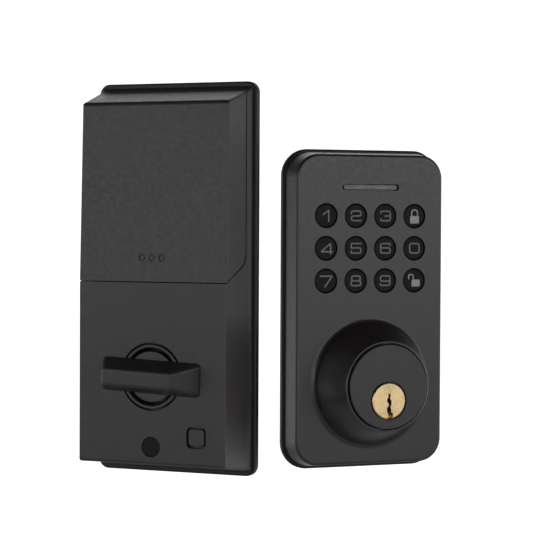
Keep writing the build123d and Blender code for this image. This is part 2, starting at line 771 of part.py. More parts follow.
# Square settings button with a retaining rim and a stem to its switch.
with BuildPart() as settings_button:
    with BuildSketch(door_in.offset(inside_n - 1.7)):
        with Locations((button_x, button_y)):
            RectangleRounded(6.95, 6.95, 1.6)
    extrude(amount=front_wall + 1.55)
    cap_face = settings_button.faces().sort_by(in_axis)[-1]
    fillet(cap_face.edges(), 0.3)
    with BuildSketch(door_in.offset(inside_n - 2.0)):
        with Locations((button_x, button_y)):
            RectangleRounded(9.1, 9.1, 2.4)
    extrude(amount=1.4)
    with BuildSketch(door_in.offset(inside_n - 4.2)):
        with Locations((button_x, button_y)):
            Circle(1.6)
    extrude(amount=2.2)
finish(settings_button.part, "settings_button")

# ---- battery bay --------------------------------------------------------------------------
tray_low, tray_high = 39.4, 98.2
with BuildPart() as battery_tray:
    with BuildSketch(door_in.offset(rim_n)):
        with Locations((0, (tray_low + tray_high) / 2)):
            Rectangle(60.4, tray_high - tray_low)
    extrude(amount=14.0)
    with BuildSketch(door_in.offset(rim_n + 0.8)):
        with Locations((0, (tray_low + tray_high) / 2)):
            Rectangle(58.6, tray_high - tray_low - 2.6)
    extrude(amount=20.0, mode=Mode.SUBTRACT)
    # the long walls are low, so a cell can be lifted out
    with BuildSketch(door_in.offset(12.4)):
        with Locations((0, (tray_low + tray_high) / 2)):
            Rectangle(70, tray_high - tray_low - 12.0)
    extrude(amount=20.0, mode=Mode.SUBTRACT)
    # low ribs between the cells
    with BuildSketch(door_in.offset(rim_n + 0.8)):
        with Locations((-14.6, 70.2), (0, 70.2), (14.6, 70.2)):
            Rectangle(0.8, 30)
    extrude(amount=2.6)
finish(battery_tray.part, "battery_tray")

# Each cell alternates its direction: a can with a raised button at one end.
with BuildPart() as batteries:
    for index, centre_x in enumerate(cell_x):
        up = index % 2 == 0
        body_low = cell_low_y if up else cell_low_y + 1.1
        tip_y = cell_low_y + cell_len if up else cell_low_y
        cell_plane = Plane(
            door_in.from_local_coords((centre_x, body_low, cell_n)), x_dir=door_in.x_dir, z_dir=(0, 0, 1)
        )
        with BuildSketch(cell_plane):
            Circle(cell_r - 0.05)
        extrude(amount=cell_len - 1.1)
        button_plane = Plane(
            door_in.from_local_coords((centre_x, tip_y, cell_n)),
            x_dir=door_in.x_dir,
            z_dir=(0, 0, -1 if up else 1),
        )
        with BuildSketch(button_plane):
            Circle(2.7)
        extrude(amount=1.1)
finish(batteries.part, "batteries")

with BuildPart() as battery_springs:
    for index, centre_x in enumerate(cell_x):
        spring_y = 41.2 if index % 2 == 0 else 96.4
        spring_plane = Plane(
            door_in.from_local_coords((centre_x, spring_y, cell_n)),
            x_dir=door_in.x_dir,
            z_dir=(0, 0, 1 if index % 2 == 0 else -1),
        )
        length = cell_low_y - 41.2 if index % 2 == 0 else 96.4 - (cell_low_y + cell_len)
        with BuildSketch(spring_plane):
            Circle(4.4)
            Circle(3.2, mode=Mode.SUBTRACT)
        extrude(amount=length, taper=8)
finish(battery_springs.part, "battery_springs")

with BuildPart() as battery_contacts:
    for contact_y in (tray_low + 1.3, tray_high - 1.8):
        with BuildSketch(door_in.offset(cell_n - 5.8)):
            with Locations(*[(centre_x, contact_y + 0.25) for centre_x in cell_x]):
                Rectangle(11.6, 0.5)
        extrude(amount=10.4)
finish(battery_contacts.part, "battery_contacts")

# ---- thumb turn ---------------------------------------------------------------------------
bar_tilt = -2.5
turn_low_n, disc_top_n = front_n - 2.5, front_n - 0.1
bar_n, bar_top_n = front_n + 0.6, front_n + 13.6
with BuildPart() as thumb_turn:
    for height, width, depth, corner in ((bar_n, 43.6, 13.6, 1.8), (bar_top_n, 30.4, 7.1, 1.4)):
        with BuildSketch(door_in.offset(height)):
            with Locations(Location((0, 0, 0), (0, 0, bar_tilt))):
                RectangleRounded(width, depth, corner)
    loft(ruled=True)
    top_face = thumb_turn.faces().sort_by(in_axis)[-1]
    fillet(top_face.edges(), 1.3)
    with BuildSketch(door_in.offset(disc_top_n)):
        Circle(6.6)
    extrude(amount=bar_n - disc_top_n)
finish(thumb_turn.part, "thumb_turn")

with BuildPart() as turn_disc:
    with BuildSketch(door_in.offset(turn_low_n)):
        Circle(10.3)
    extrude(amount=disc_top_n - turn_low_n)
    disc_edge = turn_disc.edges().sort_by(in_axis)[-1]
    fillet(disc_edge, 0.3)
finish(turn_disc.part, "turn_disc")

bezel_n = front_n - 4.1
bezel_points = [(11.7, bezel_n), (15.5, bezel_n), (15.5, bezel_n + 1), (13.0, bezel_n + 1), (13.0, front_n)]
bezel_points += [(12.8, front_n + 0.2), (11.9, front_n + 0.2), (11.7, front_n)]
finish(turned_solid(door_in, 0, 0, bezel_points), "turn_bezel")

# The spindle carries the turn to the tailpiece blade through a slot in its rear end.
socket_w, socket_t, socket_depth = 8.5, 2.9, 14.0
with BuildPart() as spindle:
    with BuildSketch(door_in.offset(0.6)):
        Circle(6.5)
    extrude(amount=9.4)
    with BuildSketch(door_in.offset(10.0)):
        Circle(5.0)
    extrude(amount=turn_low_n - 10.0)
    with BuildSketch(door_in.offset(0.6)):
        Rectangle(socket_w, socket_t)
    extrude(amount=socket_depth, mode=Mode.SUBTRACT)
finish(spindle.part, "spindle")

# ---- gear train ---------------------------------------------------------------------------
two_distance = out_module * (out_teeth + small_teeth) / 2
one_distance = two_module * (big_teeth + small_teeth) / 2
motor_distance = one_module * (big_teeth + small_teeth) / 2
two_x, two_y = polar(two_distance, two_angle)
one_x = two_x + polar(one_distance, one_angle)[0]
one_y = two_y + polar(one_distance, one_angle)[1]
motor_x = one_x + polar(motor_distance, motor_angle)[0]
motor_y = one_y + polar(motor_distance, motor_angle)[1]
half_tooth = 180 / small_teeth

# Output gear with a drum for the position switches, fixed on the spindle.
with BuildPart() as output_gear:
    add(gear_solid(door_in, 0, 0, out_teeth, out_module, two_angle, *layer_a))
    with BuildSketch(door_in.offset(layer_a[1])):
        Circle(8.2)
        with Locations(polar(8.8, -90)):
            Circle(2.2, mode=Mode.SUBTRACT)
    extrude(amount=5.0)
    with BuildSketch(door_in.offset(layer_a[0])):
        Circle(6.5)
    extrude(amount=4.0, mode=Mode.SUBTRACT)
    with BuildSketch(door_in.offset(10.0)):
        Circle(5.0)
    extrude(amount=6.0, mode=Mode.SUBTRACT)
finish(output_gear.part, "output_gear")

# Cone washer that presses the output gear against its shoulder.
spring_points = [(5.3, 14.05), (7.4, 14.25), (7.4, 14.5), (5.3, 14.3)]
finish(turned_solid(door_in, 0, 0, spring_points), "clutch_spring")

with BuildPart() as gear_two:
    two_small = (small_teeth, out_module, two_angle + 180 + half_tooth, layer_a[0], layer_b[0])
    add(gear_solid(door_in, two_x, two_y, *two_small))
    add(gear_solid(door_in, two_x, two_y, big_teeth, two_module, one_angle, *layer_b))
    with BuildSketch(door_in.offset(layer_a[0] - 0.4)):
        with Locations((two_x, two_y)):
            Circle(axle_bore_r)
    extrude(amount=9, mode=Mode.SUBTRACT)
finish(gear_two.part, "gear_two")

with BuildPart() as gear_one:
    one_small = (small_teeth, two_module, one_angle + 180 + half_tooth, layer_b[0], layer_c[0])
    add(gear_solid(door_in, one_x, one_y, *one_small))
    add(gear_solid(door_in, one_x, one_y, big_teeth, one_module, motor_angle, *layer_c))
    with BuildSketch(door_in.offset(layer_b[0])):
        with Locations((one_x, one_y)):
            Circle(axle_bore_r)
    extrude(amount=9, mode=Mode.SUBTRACT)
finish(gear_one.part, "gear_one")

with BuildPart() as motor_pinion:
    pinion_teeth = (small_teeth, one_module, motor_angle + 180 + half_tooth)
    add(gear_solid(door_in, motor_x, motor_y, *pinion_teeth, *layer_c))
    with BuildSketch(door_in.offset(layer_c[1])):
        with Locations((motor_x, motor_y)):
            Circle(axle_r)
    extrude(amount=3.4)
finish(motor_pinion.part, "motor_pinion")

with BuildPart() as gear_axles:
    with BuildSketch(door_in.offset(flange_n)):
        with Locations((two_x, two_y), (one_x, one_y)):
            Circle(axle_r)
    extrude(amount=16.2 - flange_n)
finish(gear_axles.part, "gear_axles")

corner_screws = ((-21.0, 31.0), (23.5, 31.0), (-21.0, -9.0), (21.0, 10.0))
cover_n = (14.9, 16.2)

# Rear plate of the gearbox, with the spindle's rear bearing.
with BuildPart() as gearbox_plate:
    with BuildSketch(door_in.offset(flange_n)):
        with Locations((1.0, 11.0)):
            RectangleRounded(50.0, 47.0, 3)
        Circle(6.56, mode=Mode.SUBTRACT)
        with Locations((-bolt_x, 0), (bolt_x, 0)):
            Circle(6, mode=Mode.SUBTRACT)
        with Locations((two_x, two_y), (one_x, one_y)):
            Circle(axle_r, mode=Mode.SUBTRACT)
    extrude(amount=1.8)
    with BuildSketch(door_in.offset(flange_n + 1.8)):
        with Locations(*corner_screws):
            Circle(2.2)
    extrude(amount=cover_n[0] - flange_n - 1.8)
    with BuildSketch(door_in.offset(8.0)):
        with Locations(*corner_screws):
            Circle(0.9)
    extrude(amount=10, mode=Mode.SUBTRACT)
finish(gearbox_plate.part, "gearbox_plate")

# Front plate of the gearbox, which carries the motor and the spindle's front bearing.
with BuildPart() as gear_cover:
    with BuildSketch(door_in.offset(cover_n[0])):
        with Locations((1.0, 9.0)):
            RectangleRounded(50.0, 51.0, 3)
        Circle(5.06, mode=Mode.SUBTRACT)
        with Locations((motor_x, motor_y)):
            Circle(2.2, mode=Mode.SUBTRACT)
        with Locations((two_x, two_y), (one_x, one_y)):
            Circle(axle_r, mode=Mode.SUBTRACT)
        with Locations(*corner_screws):
            Circle(0.9, mode=Mode.SUBTRACT)
        with Locations((0, -16.5)):
            Rectangle(19, 9, mode=Mode.SUBTRACT)
    extrude(amount=cover_n[1] - cover_n[0])
finish(gear_cover.part, "gear_cover")

# Screws of the gearbox.
with BuildPart() as gearbox_screws:
    with BuildSketch(door_in.offset(cover_n[1])):
        with Locations(corner_screws[0], corner_screws[2]):
            Circle(1.7)
    extrude(amount=1.0)
    with BuildSketch(door_in.offset(cover_n[1])):
        with Locations(corner_screws[3]):
            Circle(1.7)
    extrude(amount=1.0)
    with BuildSketch(door_in.offset(9.0)):
        with Locations(corner_screws[0], corner_screws[2], corner_screws[3]):
            Circle(0.9)
    extrude(amount=cover_n[1] - 9.0)
finish(gearbox_screws.part, "gearbox_screws")

# Flat can motor with a rear bearing boss.
motor_height = 6.6
with BuildPart() as motor:
    with BuildSketch(door_in.offset(cover_n[1])):
        with Locations((motor_x, motor_y)):
            Circle(10)
            Rectangle(24, 15, mode=Mode.INTERSECT)
    extrude(amount=motor_height)
    with BuildSketch(door_in.offset(cover_n[1] + motor_height)):
        with Locations((motor_x, motor_y)):
            Circle(2.6)
    extrude(amount=0.6)
    with BuildSketch(door_in.offset(cover_n[1])):
        with Locations((motor_x, motor_y)):
            Circle(axle_bore_r)
    extrude(amount=2.2, mode=Mode.SUBTRACT)
finish(motor.part, "motor")

# Two lever switches read the drum of the output gear.
with BuildPart() as position_switches:
    for mirror_x in (-1, 1):
        with BuildSketch(door_in.offset(12.0)):
            with Locations((mirror_x * 14.2, -10.6)):
                Rectangle(7.0, 4.6)
        extrude(amount=cover_n[0] - 12.0)
        with BuildSketch(door_in.offset(12.8)):
            with Locations((mirror_x * 11.6, -7.8)):
                Rectangle(4.6, 1.0)
        extrude(amount=1.0)
finish(position_switches.part, "position_switches")

# ---- electronics --------------------------------------------------------------------------
with BuildPart() as main_board:
    with BuildSketch(door_in.offset(board_n)):
        with Locations((0, -25.6)):
            RectangleRounded(57.6, 15.6, 1.5)
        with Locations((0, screw_y)):
            Circle(3.6, mode=Mode.SUBTRACT)
        with Locations((-26.6, -20.6), (26.6, -20.6), (-26.6, -31.2), (26.6, -31.2)):
            Circle(0.8, mode=Mode.SUBTRACT)
    extrude(amount=1.2)
finish(main_board.part, "main_board")

with BuildPart() as buzzer:
    with BuildSketch(door_in.offset(board_n + 1.2)):
        with Locations((-16.0, -25.6)):
            Circle(5.6)
    extrude(amount=4.6)
    with BuildSketch(door_in.offset(board_n + 4.8)):
        with Locations((-16.0, -25.6)):
            Circle(1.1)
    extrude(amount=3, mode=Mode.SUBTRACT)
finish(buzzer.part, "buzzer")

with BuildPart() as board_connector:
    with BuildSketch(door_in.offset(board_n - 5.0)):
        with Locations((-12.0, -27.6)):
            Rectangle(13.0, 5.6)
    extrude(amount=5.0)
    with BuildSketch(door_in.offset(board_n - 5.0)):
        with Locations((-12.0, -27.6)):
            with GridLocations(1.9, 1, 6, 1):
                Rectangle(1.2, 3.0)
    extrude(amount=3.6, mode=Mode.SUBTRACT)
finish(board_connector.part, "board_connector")
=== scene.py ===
import json
from itertools import product
from math import cos, pi, radians, sin, tan

import bmesh
import bpy
from mathutils import Matrix, Vector


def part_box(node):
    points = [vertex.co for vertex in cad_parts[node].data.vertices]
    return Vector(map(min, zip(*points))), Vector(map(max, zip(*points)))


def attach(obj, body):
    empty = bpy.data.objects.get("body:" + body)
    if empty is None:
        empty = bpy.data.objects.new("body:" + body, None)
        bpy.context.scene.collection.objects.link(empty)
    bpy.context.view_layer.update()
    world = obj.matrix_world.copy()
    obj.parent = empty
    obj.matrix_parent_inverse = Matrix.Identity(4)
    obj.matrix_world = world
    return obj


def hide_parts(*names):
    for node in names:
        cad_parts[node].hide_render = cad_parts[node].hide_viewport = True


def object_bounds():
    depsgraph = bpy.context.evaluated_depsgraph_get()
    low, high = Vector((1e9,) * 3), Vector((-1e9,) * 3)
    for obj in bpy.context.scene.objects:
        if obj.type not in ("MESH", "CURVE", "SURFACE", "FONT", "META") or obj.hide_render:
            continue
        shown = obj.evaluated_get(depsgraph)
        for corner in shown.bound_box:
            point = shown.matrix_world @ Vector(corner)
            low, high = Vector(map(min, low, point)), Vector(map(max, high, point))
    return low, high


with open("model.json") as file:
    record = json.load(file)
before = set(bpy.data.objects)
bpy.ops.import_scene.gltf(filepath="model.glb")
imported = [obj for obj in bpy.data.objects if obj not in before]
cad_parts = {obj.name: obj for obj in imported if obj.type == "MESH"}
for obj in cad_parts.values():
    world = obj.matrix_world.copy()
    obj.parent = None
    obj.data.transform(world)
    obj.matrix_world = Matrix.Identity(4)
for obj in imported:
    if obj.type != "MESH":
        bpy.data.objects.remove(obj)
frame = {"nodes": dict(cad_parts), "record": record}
nodes = frame["nodes"]
cad_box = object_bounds()
MM = 0.001


# ---- places ----------------------------------------------------------------------------------

def mount(name):
    return next(m for m in frame["record"]["mounts"] if m["name"] == name)


class Door:
    """A unit's own axes: x to the right and y up on the door, n outward, in millimetres."""

    def __init__(self, origin, outward):
        self.origin = Vector(origin)
        self.n = Vector(outward).normalized()
        self.y = Vector((0, 0, 1))
        self.x = self.y.cross(self.n)

    def at(self, x, y, n):
        return self.origin + (self.x * x + self.y * y + self.n * n) * MM

    def flat(self, x=0.0, y=0.0, n=0.0, turn=0.0):
        """Places a piece drawn with its z outward, turned about that axis."""
        axes = Matrix((self.x, self.y, self.n)).transposed().to_4x4()
        return Matrix.Translation(self.at(x, y, n)) @ axes @ Matrix.Rotation(radians(turn), 4, "Z")

    def upright(self, x, y, n, down=False):
        """Places a piece drawn with its z up, or down."""
        turned = Matrix.Rotation(pi, 4, "X") if down else Matrix.Identity(4)
        axes = Matrix((self.x, -self.n, self.y)).transposed().to_4x4()
        return Matrix.Translation(self.at(x, y, n)) @ axes @ turned

    def local(self, point):
        away = (Vector(point) - self.origin) / MM
        return away.dot(self.x), away.dot(self.y), away.dot(self.n)


socket = mount("spindle_socket")
inward = Vector(socket["axis"])
SOCKET_N = 0.6
outside = Door((0, 0, 0), (0, -1, 0))
inside = Door(Vector(socket["pos_m"]) + inward * SOCKET_N * MM, -inward)


def middle(node, door):
    """Centre of a node's box, and its highest distance from the door."""
    low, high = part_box(node)
    corners = [door.local(corner) for corner in product(*zip(low, high))]
    centre = door.local([(a + b) / 2 for a, b in zip(low, high)])
    return centre, max(c[2] for c in corners)


# ---- materials -------------------------------------------------------------------------------

class Finish:
    """A procedural material: mottled colour, uneven gloss, fine grain and softened edges, on some finishes painted
    lighter as an edge highlight in patches like scuffed lacquer.
    """

    def __init__(self, name, colour, rough, metal=0.0, specular=0.5):
        self.material = bpy.data.materials.new(name)
        self.material.use_nodes = True
        self.tree = self.material.node_tree
        self.shader = self.tree.nodes["Principled BSDF"]
        self.colour = colour
        self.rough = rough
        self.set("Metallic", metal)
        self.set("Specular IOR Level", specular)
        self.place = self.node("ShaderNodeTexCoord").outputs["Object"]

    def node(self, kind, **settings):
        made = self.tree.nodes.new(kind)
        for key, value in settings.items():
            setattr(made, key, value)
        return made

    def link(self, start, end):
        self.tree.links.new(start, end)

    def set(self, socket_name, value):
        self.shader.inputs[socket_name].default_value = value

    def noise(self, size, detail=3.0, stretch=None, blur=0.5):
        """Noise whose features are about this many millimetres across."""
        noise = self.node("ShaderNodeTexNoise")
        noise.inputs["Scale"].default_value = 1 / (size * MM)
        noise.inputs["Detail"].default_value = detail
        noise.inputs["Roughness"].default_value = blur
        place = self.place
        if stretch:
            mapping = self.node("ShaderNodeMapping")
            mapping.inputs["Scale"].default_value = stretch
            self.link(place, mapping.inputs["Vector"])
            place = mapping.outputs["Vector"]
        self.link(place, noise.inputs["Vector"])
        return noise.outputs["Fac"]

    def span(self, value, low, high, start=0.3, end=0.7, smooth=False):
        ranged = self.node("ShaderNodeMapRange")
        ranged.interpolation_type = "SMOOTHSTEP" if smooth else "LINEAR"
        ranged.inputs["From Min"].default_value = start
        ranged.inputs["From Max"].default_value = end
        ranged.inputs["To Min"].default_value = low
        ranged.inputs["To Max"].default_value = high
        self.link(value, ranged.inputs["Value"])
        return ranged.outputs["Result"]

    def mix(self, factor, low, high):
        """Mixes two colours, each a tuple or a socket."""
        mixed = self.node("ShaderNodeMix", data_type="RGBA")
        for place, colour in (("A", low), ("B", high)):
            end = next(s for s in mixed.inputs if s.name == place and s.type == "RGBA")
            if isinstance(colour, tuple):
                end.default_value = (*colour, 1)
            else:
                self.link(colour, end)
        if isinstance(factor, float):
            mixed.inputs["Factor"].default_value = factor
        else:
            self.link(factor, mixed.inputs["Factor"])
        return next(s for s in mixed.outputs if s.type == "RGBA")

    def math(self, operation, first, second):
        made = self.node("ShaderNodeMath", operation=operation)
        for index, value in enumerate((first, second)):
            if isinstance(value, float):
                made.inputs[index].default_value = value
            else:
                self.link(value, made.inputs[index])
        return made.outputs[0]

    def surface(self, mottle=0.1, mottle_size=5.0, gloss_spread=0.05, edge=0.2, wear=0.0, tone=None):
        """Links colour and roughness, and returns the softened normal for the grain."""
        low = tuple(c * (1 - mottle) for c in self.colour)
        high = tuple(min(c * (1 + mottle), 1) for c in self.colour)
        colour = tone or self.mix(self.span(self.noise(mottle_size), 0.0, 1.0), low, high)
        bevel = self.node("ShaderNodeBevel", samples=4)
        bevel.inputs["Radius"].default_value = edge * MM
        # Painted edge highlight: where the softened normal turns away from the true one, the colour is painted
        # lighter, broken into patches like scuffed lacquer.
        if wear:
            true_normal = self.node("ShaderNodeNewGeometry").outputs["Normal"]
            dot = self.node("ShaderNodeVectorMath", operation="DOT_PRODUCT")
            self.link(bevel.outputs["Normal"], dot.inputs[0])
            self.link(true_normal, dot.inputs[1])
            rubbed_and_highlit_edges = self.span(dot.outputs["Value"], wear, 0.0, 0.8, 0.995)
            patchy_scuff_and_highlight = self.math("MULTIPLY", rubbed_and_highlit_edges, self.span(self.noise(2.5), 0.2, 1.0))
            scuffed_and_highlit_colour = tuple(min(c * 2.6 + 0.02, 1) for c in self.colour)
            colour = self.mix(patchy_scuff_and_highlight, colour, scuffed_and_highlit_colour)
        self.link(colour, self.shader.inputs["Base Color"])
        gloss = self.span(self.noise(mottle_size * 0.37, 4.0), self.rough - gloss_spread, self.rough + gloss_spread)
        self.link(gloss, self.shader.inputs["Roughness"])
        return bevel.outputs["Normal"]

    def grain(self, normal, size, height, stretch=None, detail=2.0, source=None):
        """Relief of this height in millimetres over the softened normal."""
        bump = self.node("ShaderNodeBump")
        bump.inputs["Strength"].default_value = 1.0
        bump.inputs["Distance"].default_value = height * MM
        self.link(source or self.noise(size, detail, stretch), bump.inputs["Height"])
        self.link(normal, bump.inputs["Normal"])
        self.link(bump.outputs["Normal"], self.shader.inputs["Normal"])
        return bump.outputs["Normal"]


def moulded(name, colour, rough, grain_size=0.35, grain_height=0.006, specular=0.5, **surface):
    """Moulded plastic or sprayed lacquer."""
    finish = Finish(name, colour, rough, specular=specular)
    finish.grain(finish.surface(**surface), grain_size, grain_height)
    return finish


def metal(name, colour, rough, grain_size=0.5, grain_height=0.003, stretch=None, **surface):
    finish = Finish(name, colour, rough, metal=1.0)
    finish.grain(finish.surface(**surface), grain_size, grain_height, stretch)
    return finish


def turned_brass():
    """Brass faced on a lathe: fine rings about the plug's axis, and a gloss stretched across them."""
    finish = Finish("turned_brass", (0.95, 0.71, 0.39), 0.27, metal=1.0)
    normal = finish.surface(mottle=0.06, mottle_size=3.0, gloss_spread=0.04, edge=0.15)
    split = finish.node("ShaderNodeSeparateXYZ")
    finish.link(finish.place, split.inputs[0])
    across = finish.math("MULTIPLY", split.outputs["X"], split.outputs["X"])
    along = finish.math("MULTIPLY", split.outputs["Z"], split.outputs["Z"])
    radius = finish.math("SQRT", finish.math("ADD", across, along), 0.0)
    rings = finish.node("ShaderNodeTexNoise", noise_dimensions="1D")
    rings.inputs["Scale"].default_value = 1 / (0.12 * MM)
    rings.inputs["Detail"].default_value = 2.0
    finish.link(radius, rings.inputs["W"])
    finish.grain(normal, 0, 0.0025, source=rings.outputs["Fac"])
    finish.set("Anisotropic", 0.7)
    tangent = finish.node("ShaderNodeTangent", direction_type="RADIAL", axis="Y")
    finish.link(tangent.outputs["Tangent"], finish.shader.inputs["Tangent"])
    return finish


def light_guide():
    """Frosted plastic strip with a painted glow of the lamps behind it: faint lighter bands in its colour."""
    finish = Finish("frosted_guide", (0.22, 0.22, 0.225), 0.35)
    spots = finish.node("ShaderNodeTexWave", wave_type="BANDS", bands_direction="X")
    spots.inputs["Scale"].default_value = 32.0
    spots.inputs["Distortion"].default_value = 0.4
    finish.link(finish.place, spots.inputs["Vector"])
    # Painted glow: the light of the lamps behind the strip is painted into its colour as lighter bands.
    glow = finish.span(spots.outputs["Fac"], 0.0, 1.0, 0.2, 0.9, True)
    tone = finish.mix(glow, (0.2, 0.2, 0.205), (0.25, 0.25, 0.255))
    finish.grain(finish.surface(tone=tone, edge=0.1), 0.25, 0.004)
    finish.set("Subsurface Weight", 0.25)
    finish.set("Subsurface Scale", 0.001)
    return finish


def solder_mask():
    """Green board: darker over bare fibre, lighter over copper runs."""
    finish = Finish("solder_mask", (0.02, 0.1, 0.045), 0.3)
    cells = finish.node("ShaderNodeTexBrick")
    cells.inputs["Scale"].default_value = 260.0
    cells.inputs["Color1"].default_value = (0.02, 0.12, 0.05, 1)
    cells.inputs["Color2"].default_value = (0.015, 0.09, 0.04, 1)
    cells.inputs["Mortar"].default_value = (0.01, 0.06, 0.03, 1)
    finish.link(finish.place, cells.inputs["Vector"])
    finish.grain(finish.surface(tone=cells.outputs["Color"], edge=0.08), 0.6, 0.01)
    return finish


def printed_sleeve():
    """Battery sleeve: black with a copper-coloured band at its positive end, along its own axis."""
    finish = Finish("printed_sleeve", (0.02, 0.02, 0.022), 0.22)
    split = finish.node("ShaderNodeSeparateXYZ")
    finish.link(finish.place, split.inputs[0])
    band = finish.span(split.outputs["Z"], 0.0, 1.0, 36.3 * MM, 36.5 * MM)
    line = finish.math("MULTIPLY", finish.span(split.outputs["Z"], 0.0, 1.0, 34.4 * MM, 34.5 * MM),
                       finish.span(split.outputs["Z"], 1.0, 0.0, 34.9 * MM, 35.0 * MM))
    tone = finish.mix(band, finish.mix(line, (0.016, 0.016, 0.018), (0.4, 0.4, 0.4)), (0.42, 0.2, 0.07))
    finish.grain(finish.surface(tone=tone, edge=0.15), 2.0, 0.01)
    finish.set("Coat Weight", 0.4)
    finish.set("Coat Roughness", 0.1)
    return finish


# Finishes given a lighter-edge amount below carry a painted edge highlight in patches, standing in for both scuffs
# and the shine along their edges.
FINISHES = {
    "exterior_shell": moulded("bronze_lacquer", (0.026, 0.0215, 0.0225), 0.33, 0.5, 0.004, 0.75, mottle=0.06, wear=0.25),
    "face_black": moulded("disc_lacquer", (0.042, 0.0395, 0.0405), 0.36, 0.4, 0.004, 0.6, mottle=0.06, wear=0.2),
    "base_black": moulded("base_plastic", (0.008, 0.008, 0.0083), 0.45, 0.3, 0.006, 0.4, mottle=0.12),
    "seal_rubber": moulded("seal_rubber", (0.012, 0.012, 0.012), 0.75, 0.4, 0.012, 0.3, mottle=0.2),
    "key_black": moulded("key_plastic", (0.0075, 0.0065, 0.0067), 0.5, 0.3, 0.005, 0.22, mottle=0.1, edge=0.25),
    "mat_rubber": moulded("mat_silicone", (0.2, 0.2, 0.21), 0.6, 0.5, 0.01, mottle=0.08),
    "light_guide": light_guide(),
    "board_green": solder_mask(),
    "connector_white": moulded("nylon", (0.7, 0.67, 0.6), 0.4, 0.8, 0.008, mottle=0.05),
    "lock_brass": turned_brass(),
    "bare_steel": metal("zinc_steel", (0.5, 0.51, 0.53), 0.34, 0.6, 0.004, (1, 1, 6), mottle=0.15, mottle_size=3.0),
    "screw_black": metal("oxide_steel", (0.07, 0.07, 0.075), 0.4, 0.4, 0.004, mottle=0.2, wear=0.3),
    "interior_shell": moulded("shell_plastic", (0.038, 0.033, 0.032), 0.38, 0.32, 0.006, 0.55, mottle=0.07),
    "turn_black": moulded("turn_lacquer", (0.034, 0.032, 0.0315), 0.34, 0.4, 0.004, 0.5, mottle=0.08, wear=0.2),
    "tray_black": moulded("tray_plastic", (0.02, 0.02, 0.021), 0.45, 0.5, 0.008, mottle=0.1),
    "cell_sleeve": metal("cell_steel", (0.6, 0.6, 0.6), 0.25, 0.8, 0.003, mottle=0.08),
    "contact_nickel": metal("nickel", (0.66, 0.64, 0.6), 0.22, 0.6, 0.003, mottle=0.08, mottle_size=2.0),
    "gear_acetal": moulded("acetal", (0.72, 0.7, 0.63), 0.35, 0.7, 0.006, mottle=0.04),
    "motor_steel": metal("motor_can", (0.5, 0.5, 0.49), 0.3, 0.5, 0.004, (1, 1, 8), mottle=0.12),
    "part_black": moulded("part_plastic", (0.018, 0.018, 0.018), 0.42, 0.4, 0.008, mottle=0.12),
}

PRINT = moulded("legend_ink", (0.24, 0.235, 0.24), 0.5, 0.2, 0.003, mottle=0.12, mottle_size=1.5, edge=0.05)
ICON = moulded("icon_ink", (0.42, 0.45, 0.47), 0.45, 0.2, 0.003, mottle=0.08, mottle_size=1.5, edge=0.05)
SLEEVE = printed_sleeve()
MARK = moulded("mark_ink", (0.62, 0.62, 0.6), 0.4, 0.2, 0.003, mottle=0.05, mottle_size=1.5, edge=0.05)

for part in frame["record"]["subparts"]:
    shown = nodes[part["node"]]
    shown.data.materials.clear()
    shown.data.materials.append(FINISHES[part["material_slot"]].material)


# ---- pieces ----------------------------------------------------------------------------------

def piece(name, data, finish, place, body):
    made = bpy.data.objects.new(name, data)
    data.materials.append(finish.material)
    made.matrix_world = place
    bpy.context.scene.collection.objects.link(made)
    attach(made, body)
    return made


def to_mesh(name, shape, smooth=True):
    bmesh.ops.recalc_face_normals(shape, faces=shape.faces)
    data = bpy.data.meshes.new(name)
    shape.to_mesh(data)
    shape.free()
    for face in data.polygons:
        face.use_smooth = smooth
    return data


def rounded(points, radius, closed=False, steps=5):
    """The path with its corners rounded."""
    path = []
    corners = [Vector(p) for p in points]
    for index, corner in enumerate(corners):
        if not closed and index in (0, len(corners) - 1):
            path.append(corner)
            continue
        back = corners[index - 1] - corner
        on = corners[(index + 1) % len(corners)] - corner
        reach = min(radius / tan(back.angle(on) / 2), back.length * 0.49, on.length * 0.49)
        start = corner + back.normalized() * reach
        end = corner + on.normalized() * reach
        for step in range(steps + 1):
            t = step / steps
            path.append(start * (1 - t) ** 2 + corner * 2 * t * (1 - t) + end * t * t)
    return path


def stroke(shape, points, width, rise, radius=0.9, closed=False):
    """A raised printed line, in millimetres: a low dome in section, with round ends."""
    path = rounded(points, radius, closed)
    rows = []
    for index, point in enumerate(path):
        before = path[index - 1] if closed or index else point
        after = path[(index + 1) % len(path)] if closed or index < len(path) - 1 else point
        rows.append((point, (after - before).normalized(), 1.0))
    if not closed:
        tips = [(sin(radians(a)) * width / 2, cos(radians(a))) for a in (25, 50, 70, 85)]
        first, last = rows[0], rows[-1]
        rows = [(first[0] - first[1] * far, first[1], size) for far, size in reversed(tips)] + rows
        rows += [(last[0] + last[1] * far, last[1], size) for far, size in tips]
    sides = 6
    lines = []
    for point, way, size in rows:
        line = []
        for side in range(sides + 1):
            angle = pi * side / sides
            off = cos(angle) * width / 2 * size
            height = sin(angle) * rise * size - 0.01
            line.append(shape.verts.new(((point.x - way.y * off) * MM, (point.y + way.x * off) * MM, height * MM)))
        lines.append(line)
    if closed:
        lines.append(lines[0])
    for low, high in zip(lines, lines[1:]):
        for side in range(sides):
            shape.faces.new((low[side], low[side + 1], high[side + 1], high[side]))


